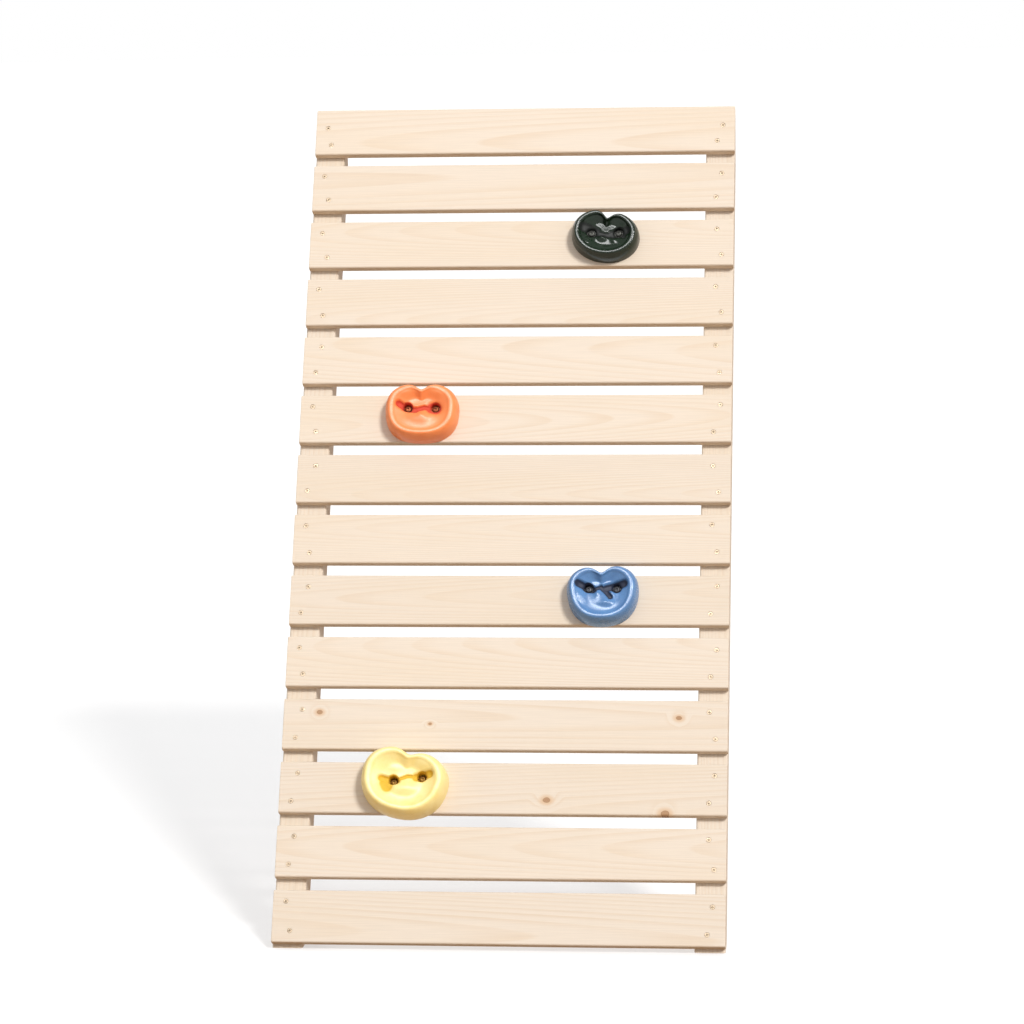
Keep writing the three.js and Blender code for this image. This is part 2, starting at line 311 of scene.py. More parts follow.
class Nodes:
    """A short way to write a node tree."""

    def __init__(self, name):
        self.material = bpy.data.materials.new(name)
        self.material.use_nodes = True
        self.tree = self.material.node_tree
        self.shader = self.tree.nodes["Principled BSDF"]
        self.coordinates = self.tree.nodes.new("ShaderNodeTexCoord")

    def link(self, source, target):
        self.tree.links.new(source, target)

    def put(self, socket, value):
        """Sets a socket to a number or a colour, or joins another socket to it."""
        if isinstance(value, bpy.types.NodeSocket):
            self.link(value, socket)
        else:
            socket.default_value = value

    def math(self, operation, *values):
        node = self.tree.nodes.new("ShaderNodeMath")
        node.operation = operation
        for socket, value in zip(node.inputs, values):
            self.put(socket, value)
        return node.outputs[0]

    def vector(self, operation, *values):
        node = self.tree.nodes.new("ShaderNodeVectorMath")
        node.operation = operation
        for socket, value in zip(node.inputs, values):
            self.put(socket, value)
        return node.outputs["Value"] if operation in ("LENGTH", "DOT_PRODUCT") else node.outputs[0]

    def mapping(self, source, location, rotation, kind="POINT"):
        node = self.tree.nodes.new("ShaderNodeMapping")
        node.vector_type = kind
        self.link(source, node.inputs["Vector"])
        node.inputs["Location"].default_value = location
        node.inputs["Rotation"].default_value = rotation
        return node.outputs[0]

    def within(self, place):
        """Object coordinates as seen in the frame of place."""
        source = self.coordinates.outputs["Object"]
        return self.mapping(source, place.to_translation(), place.to_euler("XYZ"), "TEXTURE")

    def noise(self, source, scale, detail, roughness=0.5):
        node = self.tree.nodes.new("ShaderNodeTexNoise")
        self.link(source, node.inputs["Vector"])
        node.inputs["Scale"].default_value = scale
        node.inputs["Detail"].default_value = detail
        node.inputs["Roughness"].default_value = roughness
        return node.outputs["Fac"]

    def ranged(self, value, low, high, to_low, to_high, smooth=False):
        node = self.tree.nodes.new("ShaderNodeMapRange")
        node.interpolation_type = "SMOOTHSTEP" if smooth else "LINEAR"
        self.put(node.inputs["Value"], value)
        node.inputs["From Min"].default_value = low
        node.inputs["From Max"].default_value = high
        node.inputs["To Min"].default_value = to_low
        node.inputs["To Max"].default_value = to_high
        return node.outputs[0]

    def mix(self, share, first, second, blend="MIX"):
        node = self.tree.nodes.new("ShaderNodeMix")
        node.data_type = "RGBA"
        node.blend_type = blend
        self.put(node.inputs["Factor"], share)
        colour_inputs = [socket for socket in node.inputs if socket.type == "RGBA"]
        for socket, value in zip(colour_inputs, (first, second)):
            self.put(socket, value if isinstance(value, bpy.types.NodeSocket) else (*value, 1))
        return next(socket for socket in node.outputs if socket.type == "RGBA")

    def bump(self, height, distance, strength=1.0, under=None):
        node = self.tree.nodes.new("ShaderNodeBump")
        self.link(height, node.inputs["Height"])
        node.inputs["Distance"].default_value = distance
        node.inputs["Strength"].default_value = strength
        if under is not None:
            self.link(under, node.inputs["Normal"])
        return node.outputs[0]


EARLY_WOOD = (0.738, 0.644, 0.538)
LATE_WOOD = (0.648, 0.500, 0.350)
WARM_WOOD = (0.718, 0.597, 0.452)
KNOT_HEART = (0.330, 0.175, 0.085)
KNOT_EDGE = (0.220, 0.112, 0.052)
KNOT_HALO = (0.610, 0.400, 0.225)
RINGS_PER_UNIT = 20 / (2 * math.pi)  # a wave texture of scale 1 makes this many rings per metre
RING_DRIFT = 0.045  # how slowly the rings change along the trunk, compared with across it
KNOT_STRETCH = 0.72  # makes knots longer along the board than across it
KNOT_UNEVENNESS = 0.8  # how far a knot's outline strays from a smooth one, in millimetres
KNOT_SWIRL = 9.0  # how far the rings bend around a knot
KNOT_RING_WIDTH = 0.9  # in millimetres


def wood(name, place, pith, tilt, tone_and_painted_shade, knots, ring_width):
    """Planed spruce with its length along the x axis of place.

    pith is where the trunk's middle lies, and tilt is the trunk's turn about y and z. knots are
    (x, y, radius) on the face, and each goes straight through. pith, knots and ring_width are in
    millimetres.
    """
    nodes = Nodes(name)
    own = nodes.within(place)
    trunk = nodes.mapping(own, [each * MM for each in pith], (0, tilt[0], tilt[1]))
    slow = nodes.vector("MULTIPLY", trunk, (RING_DRIFT, 1, 1))

    flat = nodes.vector("MULTIPLY", own, (1, 1, 0))
    wobble = nodes.noise(own, 90, detail=2)
    phase = 0.0
    knot_masks = []
    for x, y, radius in knots:
        away = nodes.vector("SUBTRACT", flat, (x * MM, y * MM, 0))
        stretched = nodes.vector("MULTIPLY", away, (KNOT_STRETCH, 1, 1))
        smooth = nodes.vector("LENGTH", stretched)
        uneven = nodes.math("MULTIPLY_ADD", wobble, 2 * KNOT_UNEVENNESS * MM, -KNOT_UNEVENNESS * MM)
        distance = nodes.math("ADD", smooth, uneven)
        reach = radius * MM
        swirl = nodes.ranged(distance, reach * 0.7, reach * 5, 1, 0, smooth=True)
        phase = nodes.math("ADD", nodes.math("MULTIPLY", swirl, KNOT_SWIRL), phase)
        knot_masks.append((distance, reach))

    # The growth rings, pushed out of line around each knot: each darkens slowly and ends sharply.
    wave = nodes.tree.nodes.new("ShaderNodeTexWave")
    wave.wave_type = "RINGS"
    wave.rings_direction = "X"
    wave.wave_profile = "SAW"
    nodes.link(slow, wave.inputs["Vector"])
    wave.inputs["Scale"].default_value = 1 / (ring_width * MM * RINGS_PER_UNIT)
    wave.inputs["Distortion"].default_value = 5.5
    wave.inputs["Detail"].default_value = 2.0
    wave.inputs["Detail Scale"].default_value = 0.11
    wave.inputs["Detail Roughness"].default_value = 0.45
    nodes.put(wave.inputs["Phase Offset"], phase)
    rings = wave.outputs["Fac"]

    ring_shade = nodes.ranged(rings, 0.35, 0.93, 0, 1, smooth=True)
    ring_fall = nodes.ranged(rings, 0.93, 1.0, 1, 0)
    late = nodes.math("MULTIPLY", ring_shade, ring_fall)

    # Fine fibres, wider streaks and large warm patches, all long and narrow along the board.
    fibre_space = nodes.vector("MULTIPLY", own, (14, 620, 620))
    fibres = nodes.noise(fibre_space, 1.0, detail=4, roughness=0.6)
    streak_space = nodes.vector("MULTIPLY", trunk, (2.2, 60, 60))
    streaks = nodes.noise(streak_space, 1.0, detail=3, roughness=0.55)
    patches = nodes.noise(nodes.vector("MULTIPLY", trunk, (1.6, 9, 9)), 1.0, detail=2)

    late_share = nodes.math("MULTIPLY", late, nodes.ranged(streaks, 0.3, 0.7, 0.18, 0.55))
    colour = nodes.mix(late_share, EARLY_WOOD, LATE_WOOD)
    colour = nodes.mix(nodes.ranged(patches, 0.42, 0.72, 0, 0.45, smooth=True), colour, WARM_WOOD)
    fibre_shade = nodes.ranged(fibres, 0.25, 0.75, 0.93, 1.04)
    # Multiplies in the board's own tone and, on slats, painted shade that grows darker from each slat to
    # the one below it.
    shade_now = nodes.math("MULTIPLY", fibre_shade, tone_and_painted_shade)
    colour = nodes.mix(1.0, colour, shade_now, "MULTIPLY")

    # Each knot: a brown halo in the wood around it, its own rings, and a dark rim.
    for distance, reach in knot_masks:
        halo = nodes.ranged(distance, reach * 0.9, reach * 2.6, 0.75, 0, smooth=True)
        colour = nodes.mix(halo, colour, KNOT_HALO)
        growth = nodes.math("FRACT", nodes.math("MULTIPLY", distance, 1 / (KNOT_RING_WIDTH * MM)))
        heart = nodes.mix(nodes.math("MULTIPLY", growth, 0.5), KNOT_HEART, KNOT_HALO)
        inside = nodes.ranged(distance, reach * 0.86, reach * 1.02, 1, 0, smooth=True)
        rim = nodes.ranged(distance, reach * 0.72, reach * 0.95, 0, 0.7, smooth=True)
        heart = nodes.mix(rim, heart, KNOT_EDGE)
        colour = nodes.mix(inside, colour, heart)

    # The sawn ends are a little darker.
    lengthwise = nodes.vector("DOT_PRODUCT", nodes.coordinates.outputs["Normal"], place.col[0].to_3d())
    end_grain = nodes.ranged(nodes.math("ABSOLUTE", lengthwise), 0.6, 0.9, 0, 0.4, smooth=True)
    colour = nodes.mix(end_grain, colour, LATE_WOOD)
    nodes.link(colour, nodes.shader.inputs["Base Color"])

    # Late wood is a little glossier, and stands a little higher.
    roughness = nodes.ranged(fibres, 0.2, 0.8, 0.56, 0.74)
    roughness = nodes.math("SUBTRACT", roughness, nodes.math("MULTIPLY", late, 0.07))
    nodes.link(roughness, nodes.shader.inputs["Roughness"])
    nodes.shader.inputs["Specular IOR Level"].default_value = 0.25
    grain_height = nodes.math("ADD", nodes.math("MULTIPLY", late, 0.5), fibres)
    normal = nodes.bump(grain_height, 0.00012)
    planed = nodes.noise(nodes.vector("MULTIPLY", own, (40, 14, 14)), 1.0, detail=1)
    nodes.link(nodes.bump(planed, 0.0007, 0.5, under=normal), nodes.shader.inputs["Normal"])
    return nodes.material


GRIT_HEIGHT = 0.08  # of the plastic's grit, in millimetres
DIMPLE_HEIGHT = 2.2 * GRIT_HEIGHT


def plastic(name, light, deep, recess, roughness, specular=0.5, speckle=0.35):
    """Moulded, sand-filled plastic: a faint mottle, fine grit, an uneven gloss, and dull grooves darkened
    with painted shade.

    light is the main colour, deep is that of the mottle and grit, and recess is the painted shade colour
    in the grooves and bolt recesses.
    """
    nodes = Nodes(name)
    own = nodes.coordinates.outputs["Object"]
    mottle = nodes.noise(own, 60, detail=4, roughness=0.6)
    grit = nodes.noise(own, 1500, detail=2, roughness=0.7)
    dimple = nodes.noise(own, 420, detail=2, roughness=0.5)
    colour = nodes.mix(nodes.ranged(mottle, 0.35, 0.7, 0, speckle, smooth=True), light, deep)
    colour = nodes.mix(nodes.ranged(grit, 0.56, 0.72, 0, speckle, smooth=True), colour, deep)
    # Painted shade: the recess attribute darkens the grooves and bolt recesses towards the recess colour.
    groove = nodes.tree.nodes.new("ShaderNodeAttribute")
    groove.attribute_name = "recess"
    inside = nodes.ranged(groove.outputs["Fac"], 0.15, 0.70, 0, 0.96, smooth=True)
    colour = nodes.mix(inside, colour, recess)
    nodes.link(colour, nodes.shader.inputs["Base Color"])
    gloss = nodes.math("ADD", nodes.math("MULTIPLY", mottle, 0.6), nodes.math("MULTIPLY", dimple, 0.4))
    worn = nodes.ranged(gloss, 0.3, 0.7, roughness - 0.07, roughness + 0.09)
    dull = nodes.math("MULTIPLY", inside, 0.45)
    nodes.link(nodes.math("ADD", worn, dull), nodes.shader.inputs["Roughness"])
    nodes.shader.inputs["Specular IOR Level"].default_value = specular
    fine = nodes.bump(grit, GRIT_HEIGHT * MM)
    nodes.link(nodes.bump(dimple, DIMPLE_HEIGHT * MM, 0.6, under=fine), nodes.shader.inputs["Normal"])
    return nodes.material


def plated_steel(name, tone, roughness):
    """Plated steel: a little cloudy, with fine scratches."""
    nodes = Nodes(name)
    own = nodes.coordinates.outputs["Object"]
    cloud = nodes.noise(own, 240, detail=3, roughness=0.6)
    scratch = nodes.noise(nodes.vector("MULTIPLY", own, (2600, 260, 900)), 1.0, detail=2)
    dull = tuple(0.72 * part for part in tone)
    colour = nodes.mix(nodes.ranged(cloud, 0.35, 0.7, 0, 0.7, smooth=True), tone, dull)
    nodes.link(colour, nodes.shader.inputs["Base Color"])
    nodes.shader.inputs["Metallic"].default_value = 1.0
    worn = nodes.math("ADD", nodes.math("MULTIPLY", cloud, 0.7), nodes.math("MULTIPLY", scratch, 0.3))
    sheen = nodes.ranged(worn, 0.3, 0.7, roughness - 0.1, roughness + 0.12)
    nodes.link(sheen, nodes.shader.inputs["Roughness"])
    nodes.link(nodes.bump(scratch, 0.00003), nodes.shader.inputs["Normal"])
    return nodes.material


# ---------- frames ----------

def slat_place(number):
    """The frame of a slat: x across the wall, y up the slope from its middle, z out of its front face."""
    low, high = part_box(f"slat_{number:02d}")
    middle = (low + high) / 2
    turn = Matrix.Rotation(SLOPE, 4, "X")
    face = middle + turn @ Vector((0, 0, SLAT_THICKNESS / 2 * MM))
    return Matrix.Translation(face) @ turn


def beam_place(side):
    """The frame of a side beam: x up the slope from the wall's bottom edge, z out towards the climber."""
    across = side * (SLAT_LENGTH - BEAM_SIZE) / 2
    start = Vector((across * MM, -WALL_RUN / 2 * MM, BOTTOM_EDGE_HEIGHT * MM))
    up = Vector((0, math.cos(SLOPE), math.sin(SLOPE)))
    out = Vector((0, -math.sin(SLOPE), math.cos(SLOPE)))
    turn = Matrix((up, Vector((-1, 0, 0)), out)).transposed().to_4x4()
    return Matrix.Translation(start) @ turn


def slat_height(number):
    """How far a slat's middle is up the slope from the wall's bottom edge, in millimetres."""
    return (SLAT_COUNT - number) * SLAT_PITCH + SLAT_WIDTH / 2


# ---------- screws ----------

def screw_places(number):
    """The four screws of a slat, as (name, side, x, y), with each one's small hand-driven error."""
    rng = random.Random(number)
    beam_x = (SLAT_LENGTH - BEAM_SIZE) / 2
    places = []
    for side, side_name in ((-1, "left"), (1, "right")):
        lean = SCREW_STAGGER * rng.choice((-1, 1))
        for row, row_name in ((1, "upper"), (-1, "lower")):
            x = side * beam_x + row * lean + rng.uniform(-SCREW_WANDER, SCREW_WANDER)
            up = TOP_SLAT_UPPER_SCREW_UP if (number, row) == (1, 1) else row * SCREW_UP
            y = up + rng.uniform(-SCREW_WANDER, SCREW_WANDER)
            places.append((f"{side_name}_{row_name}", side, x, y))
    return places


def threaded(core, crest, low, high, pitch, sides):
    """Rings of points for a screw thread that runs out at two heights."""
    rings_per_pitch = 4
    count = round((high - low) / pitch * rings_per_pitch)
    rings = []
    for ring in range(count + 1):
        height = low + (high - low) * ring / count
        fade = min(1, (height - low) / pitch, (high - height) / pitch)
        points = []
        for side in range(sides):
            phase = (height / pitch - side / sides) % 1
            ridge = 1 - abs(2 * phase - 1)
            radius = core + (crest - core) * ridge * fade
            turn = 2 * math.pi * side / sides
            points.append((radius * math.cos(turn), radius * math.sin(turn), height))
        rings.append(points)
    return rings


def cross_recess(top, depth):
    """The cutter for a screw's cross recess: a plus sign that narrows downward from above the head."""
    rings = []
    for height, arm, half in ((top + 0.3, 2.25, 0.5), (top, 2.15, 0.48), (top - depth, 0.95, 0.32)):
        outline = [(arm, -half), (arm, half), (half, half), (half, arm), (-half, arm), (-half, half),
                   (-arm, half), (-arm, -half), (-half, -half), (-half, -arm), (half, -arm),
                   (half, -half)]
        rings.append([(x, y, height) for x, y in outline])
    return ring_stack("recess", rings)


def screw_mesh():
    """A countersunk wood screw whose axis is z, with its head just under z = 0."""
    sides = 16
    top = -SCREW_HEAD_SUNK
    rim_ease = 0.15
    cone_end = top - SCREW_RIM - (SCREW_HEAD_RADIUS - SCREW_CORE_RADIUS) * SCREW_CONE
    thread_from = -SCREW_LENGTH + SCREW_TIP_LENGTH
    thread_to = cone_end - SCREW_PLAIN_LENGTH
    rings = [circle(SCREW_TIP_RADIUS, -SCREW_LENGTH, sides)]
    rings += threaded(SCREW_CORE_RADIUS, SCREW_THREAD_RADIUS, thread_from, thread_to, SCREW_PITCH, sides)
    rings.append(circle(SCREW_CORE_RADIUS, cone_end, sides))
    rings.append(circle(SCREW_HEAD_RADIUS - 0.12, top - SCREW_RIM, sides))
    rings.append(circle(SCREW_HEAD_RADIUS, top - SCREW_RIM + rim_ease, sides))
    rings.append(circle(SCREW_HEAD_RADIUS, top - rim_ease, sides))
    rings.append(circle(SCREW_HEAD_RADIUS - 0.2, top, sides))
    return cut(ring_stack("screw", rings), cross_recess(top, SCREW_RECESS_DEPTH))


def screw_hole(x, y):
    """The cutter for one countersunk screw hole, around (x, y) of its slat, flared at the face."""
    wide = SCREW_HEAD_RADIUS + SCREW_HOLE_CLEARANCE
    narrow = SCREW_THREAD_RADIUS + SCREW_SHANK_CLEARANCE
    rim = -SCREW_HEAD_SUNK - SCREW_RIM - SCREW_SEAT_CLEARANCE
    profile = [(narrow, -SLAT_THICKNESS - CUT_PAST), (narrow, rim - (wide - narrow)), (wide, rim),
               (wide + 0.1, 0.0), (wide + 0.5, 0.4)]
    return turned("screw_hole", profile, 28, x, y)


# ---------- slats and beams ----------

# The knots of each slat that has any: (x, y, radius) from the slat's middle, in millimetres.
SLAT_KNOTS = {
    11: [(-276, 18, 3.4), (258, 12, 3.3), (-110, 1, 2.0)],
    12: [(66, -17, 4.2), (240, -36, 4.8)],
}
# The knots of each beam, with x up the slope from the wall's bottom edge.
BEAM_KNOTS = {
    "left": [(340, 6, 4.5), (900, 9, 3.6)],
    "right": [(520, -6, 4.5), (1020, 9, 3.6)],
}
SLAT_BRIGHTNESS = 1.015
# Painted shade, darker on each lower slat.
SLAT_PAINTED_SHADE_STEP = 0.0035  # from each slat to the one below it
SLAT_BRIGHTNESS_SPREAD = 0.02
BEAM_BRIGHTNESS = 0.96
SLAT_STATIONS = 6  # lengthwise divisions of a mesh
BEAM_STATIONS = 8


def make_slats():
    """Every slat with its four screws, bored for them and for the bolts of the hold on it."""
    rng = random.Random(20)
    holds = {hold["slat"]: hold for hold in HOLDS}
    screw = screw_mesh()
    steel = plated_steel("screw_steel", (0.29, 0.230, 0.165), 0.50)
    half = SLAT_LENGTH / 2
    for number in range(1, SLAT_COUNT + 1):
        name = f"slat_{number:02d}"
        board = timber(name + "_board", SLAT_WIDTH, SLAT_THICKNESS, SLAT_EDGE_RADIUS,
                       lambda z: -half, lambda z: half, SLAT_STATIONS)
        board.transform(Matrix.Translation((0, 0, -SLAT_THICKNESS / 2 * MM)))
        cutters = [screw_hole(x, y) for _, _, x, y in screw_places(number)]
        if number in holds:
            radius = SLAT_BOLT_HOLE_RADIUS
            profile = [(radius, -SLAT_THICKNESS - CUT_PAST), (radius, CUT_PAST)]
            cutters += [turned("bolt_hole", profile, 40, x, y) for x, y in bolt_places(holds[number])]
        place = slat_place(number)
        slat = placed(name + "_board", cut(board, joined(cutters)), place)
        shade(slat)
        pith = (rng.uniform(-900, 900), rng.uniform(-46, 46), rng.uniform(34, 120) * rng.choice((-1, 1)))
        tilt = (rng.uniform(-0.035, 0.035), rng.uniform(-0.03, 0.03))
        stray = rng.uniform(-SLAT_BRIGHTNESS_SPREAD, SLAT_BRIGHTNESS_SPREAD)
        # Painted shade: each slat is a little darker than the one above it; stray is the board's own
        # tone.
        tone_and_painted_shade = SLAT_BRIGHTNESS - SLAT_PAINTED_SHADE_STEP * number + stray
        ring_width = rng.uniform(2.2, 3.4)
        knots = SLAT_KNOTS.get(number, [])
        material = wood(name + "_spruce", place, pith, tilt, tone_and_painted_shade, knots, ring_width)
        finish_piece(slat, material, "slat_wood", name)
        for place_name, _, x, y in screw_places(number):
            spin = Matrix.Rotation(rng.uniform(0, math.pi / 2), 4, "Z")
            axis = place @ Matrix.Translation((x * MM, y * MM, 0)) @ spin
            piece = placed(f"screw_{number:02d}_{place_name}", screw.copy(), axis)
            shade(piece, 40)
            finish_piece(piece, steel, "zinc_steel")
    bpy.data.meshes.remove(screw)


def make_beams():
    """The two side beams, sawn level at the foot and plumb at the head, bored for the screws."""
    middle = BEAM_FRONT - BEAM_SIZE / 2
    cos, sin = math.cos(SLOPE), math.sin(SLOPE)

    def foot(z):
        return -(BOTTOM_EDGE_HEIGHT + (z + middle) * cos) / sin

    def head(z):
        return (WALL_RUN + (z + middle) * sin) / cos

    for side, side_name in ((-1, "left"), (1, "right")):
        name = f"stringer_{side_name}"
        beam = timber(name + "_beam", BEAM_SIZE, BEAM_SIZE, BEAM_EDGE_RADIUS, foot, head, BEAM_STATIONS)
        beam.transform(Matrix.Translation((0, 0, middle * MM)))
        cutters = []
        beam_x = side * (SLAT_LENGTH - BEAM_SIZE) / 2
        radius = SCREW_THREAD_RADIUS + PILOT_CLEARANCE
        profile = [(radius, -SCREW_LENGTH - CUT_PAST), (radius, BEAM_FRONT + CUT_PAST)]
        for number in range(1, SLAT_COUNT + 1):
            for _, screw_side, x, y in screw_places(number):
                if screw_side == side:
                    cutters.append(turned("pilot", profile, 16, slat_height(number) + y, beam_x - x))
        place = beam_place(side)
        piece = placed(name + "_beam", cut(beam, joined(cutters)), place)
        shade(piece)
        pith = (200 * side, 30, 55 * side)
        tilt = (0.012, -0.01 * side)
        knots = BEAM_KNOTS[side_name]
        material = wood(name + "_spruce", place, pith, tilt, BEAM_BRIGHTNESS, knots, ring_width=3.2)
        finish_piece(piece, material, "beam_wood", name)


# ---------- climbing holds ----------

# The moulded relief of each hold, in millimetres. bead is how far its rim line stands above what is on
# both sides. A groove is (half width, depth, points), its points measured from the middle between the
# bolts. A bulge is (x, y, half width, half height, rise), measured from the hold's middle.
RELIEF = {
    "green": dict(
        bead=2.4,
        grooves=[(8.5, 3.5, [(-32, 7), (-24, 6), (-14, 0)]), (5, 3.0, [(-14, -1), (2, -6), (14, -4)]),
                 (7.5, 3.5, [(12, -4), (22, -3), (33, 1)]), (3.5, 2.5, [(32, 0), (29, -9)])],
        bulges=[(-4, -8, 6, 4, 5), (16, -13, 7, 5, 3), (-26, -13, 9, 7, 3)]),
    "orange": dict(
        bead=0.8,
        grooves=[(5.8, 5.5, [(-34, 5), (-27, 1), (-16, -4), (-8, -5)]),
                 (4.8, 5.0, [(-8, -5), (4, -1), (14, -2)]), (10.5, 4.0, [(17, -2), (22, -3)])],
        bulges=[(-22, 26, 13, 8, 2.5), (24, 26, 13, 8, 2.5), (0, -18, 24, 12, 3), (1, -10, 6, 5, 2.0)]),
    "blue": dict(
        bead=1.2,
        grooves=[(6.0, 6.0, [(-36, 6), (-26, 2), (-14, -3)]), (6.4, 6.0, [(5, -1), (19, 3), (32, 6)]),
                 (3.4, 4.0, [(-14, -3), (-2, 1), (5, -1)]), (4.2, 5.0, [(-2, 1), (6, -7), (12, -15)])],
        bulges=[(-7, -1, 4, 6, 3.0), (13, -2, 4, 5, 2.5), (8, -17, 9, 5, 3), (-33, -5, 8, 11, 3.5)]),
    "yellow": dict(
        bead=1.0,
        grooves=[(5.6, 5.0, [(-38, 5), (-28, 1), (-16, -2)]), (3.0, 3.0, [(-16, -1), (0, 3), (14, 1)]),
                 (6.6, 5.0, [(13, 0), (24, 1), (33, 2)]), (9.5, 2.2, [(-33, -3), (-31, -9)])],
        bulges=[(6, -12, 20, 10, 3.5), (-12, 20, 14, 8, 2.5), (28, 22, 12, 8, 2)]),
}
# How far from the crest, as shares of the way to the outline, a few shapes begin or end.
BEAD_FLAT = 0.055
BEAD_END = 0.11
BEAD_DIP_END = 0.30  # the dip inside the rim line
RELIEF_FADE = 0.16  # grooves and bulges
# The swelling in the lower half of the hollow, as shares of the hold's size.
BELLY_HALF_WIDTH = 0.3
BELLY_HALF_HEIGHT = 0.2
BELLY_DROP = 0.16
# Where a groove's side begins and ends, as shares of its half width.
GROOVE_FLOOR = 0.35
GROOVE_EDGE = 1.35
EYE_LIP = 3.2  # how wide the rounded lip of each bolt recess is, in millimetres
EYES = (-0.5, 0.5)  # where the bolts are, as shares of their spacing
HOLD_ANGLES = 240
HOLD_INNER_RINGS = 46
HOLD_OUTER_RINGS = 18


def bolt_places(hold):
    """The two bolts of a hold, as (x, y) from the middle of its slat."""
    tilt = math.radians(hold["bolt_tilt"])
    return [(hold["x"] + hold["bolt_x"] + eye * BOLT_SPACING * math.cos(tilt),
             hold["up"] + hold["bolt_y"] + eye * BOLT_SPACING * math.sin(tilt)) for eye in EYES]


def outline_point(hold, angle):
    """A point of the hold's outline: a rounded heart, narrower at the bottom and notched at the top."""
    turn = math.radians(hold["turn"])
    own = angle + turn
    power = hold["squareness"]
    across = abs(math.cos(own) / (hold["width"] / 2)) ** power
    along = abs(math.sin(own) / (hold["height"] / 2)) ** power
    lean = math.atan2(math.sin(own - math.pi / 2), math.cos(own - math.pi / 2))
    notch = hold["notch"] * math.exp(-((lean / HOLD_NOTCH_SPREAD) ** 2))
    radius = (across + along) ** (-1 / power) - notch
    x = radius * math.cos(own) * (1 + hold["taper"] * math.sin(own))
    y = radius * math.sin(own)
    return x * math.cos(turn) + y * math.sin(turn), y * math.cos(turn) - x * math.sin(turn)


def smoothstep(value, low, high):
    """0 up to low, 1 from high on, and a smooth rise between them."""
    share = min(1, max(0, (value - low) / (high - low)))
    return share * share * (3 - 2 * share)


def path_distance(x, y, points):
    """How far (x, y) is from a line through points."""
    best = math.inf
    for (x1, y1), (x2, y2) in zip(points, points[1:]):
        dx, dy = x2 - x1, y2 - y1
        along = min(1, max(0, ((x - x1) * dx + (y - y1) * dy) / (dx * dx + dy * dy)))
        best = min(best, math.hypot(x - x1 - along * dx, y - y1 - along * dy))
    return best


def trough(x, y, half_width, points):
    """1 along a line through points, falling to 0 past the two sides of a groove of this half width."""
    distance = path_distance(x, y, points)
    return 1 - smoothstep(distance, GROOVE_FLOOR * half_width, GROOVE_EDGE * half_width)


def from_bolts(hold, x, y):
    """A point's place along and above the line of the hold's two bolts, from the middle between them."""
    tilt = math.radians(hold["bolt_tilt"])
    from_x, from_y = x - hold["bolt_x"], y - hold["bolt_y"]
    return (from_x * math.cos(tilt) + from_y * math.sin(tilt),
            from_y * math.cos(tilt) - from_x * math.sin(tilt))


def surface_height(hold, share, x, y):
    """The hold's height at (x, y), which is a share of the way from its middle to its outline."""
    relief = RELIEF[hold["colour"]]
    beside_bead = relief["bead"] * smoothstep(abs(share - HOLD_CREST), BEAD_FLAT, BEAD_END)
    if share >= HOLD_CREST:
        out = min(1, (share - HOLD_CREST) / (1 - HOLD_CREST))
        wall = (1 - out ** HOLD_WALL_POWER) ** (1 / HOLD_WALL_POWER)
        return (hold["depth"] - beside_bead) * wall
    inward = 1 - smoothstep(share, BOWL_FLOOR, HOLD_CREST)
    across_belly = x / (BELLY_HALF_WIDTH * hold["width"])
    up_belly = (y + BELLY_DROP * hold["height"]) / (BELLY_HALF_HEIGHT * hold["height"])
    belly = hold["belly"] * math.exp(-(across_belly ** 2) - up_belly ** 2)
    dip = beside_bead * (1 - smoothstep(HOLD_CREST - share, BEAD_END, BEAD_DIP_END))
    height = hold["depth"] - inward * (hold["bowl"] - belly) - dip

    inside = 1 - smoothstep(share, HOLD_CREST - RELIEF_FADE, HOLD_CREST)
    along, above = from_bolts(hold, x, y)
    height -= inside * max(depth * trough(along, above, half_width, points)
                           for half_width, depth, points in relief["grooves"])
    for middle_x, middle_y, half_width, half_height, rise in relief["bulges"]:
        reach = ((x - middle_x) / half_width) ** 2 + ((y - middle_y) / half_height) ** 2
        height += inside * rise * math.exp(-reach)
    for eye in EYES:
        distance = math.hypot(along - eye * BOLT_SPACING, above)
        into = min(1, max(0, 1 - (distance - COUNTERBORE_RADIUS) / EYE_LIP))
        height -= EYE_LIP * (1 - math.sqrt(1 - into * into))
    return height


def painted_shade_share(hold, x, y):
    """From 0 to 1, how near a point of the hold is to a groove's middle or to a bolt recess: how much
    painted shade it gets.
    """
    along, above = from_bolts(hold, x, y)
    share = max(trough(along, above, half_width, points)
                for half_width, _, points in RELIEF[hold["colour"]]["grooves"])
    painted_shade_from, painted_shade_to = COUNTERBORE_RADIUS - 0.5, COUNTERBORE_RADIUS + EYE_LIP
    for eye in EYES:
        distance = math.hypot(along - eye * BOLT_SPACING, above)
        share = max(share, 1 - smoothstep(distance, painted_shade_from, painted_shade_to))
    return share


def hold_rings():
    """How far out each ring of a hold's points is, as a share of the way to its outline."""
    rings = [HOLD_CREST * ring / HOLD_INNER_RINGS for ring in range(1, HOLD_INNER_RINGS + 1)]
    for ring in range(1, HOLD_OUTER_RINGS + 1):
        angle = ring / HOLD_OUTER_RINGS * math.pi / 2
        rings.append(HOLD_CREST + (1 - HOLD_CREST) * math.sin(angle) ** (2 / HOLD_WALL_POWER))
    return rings


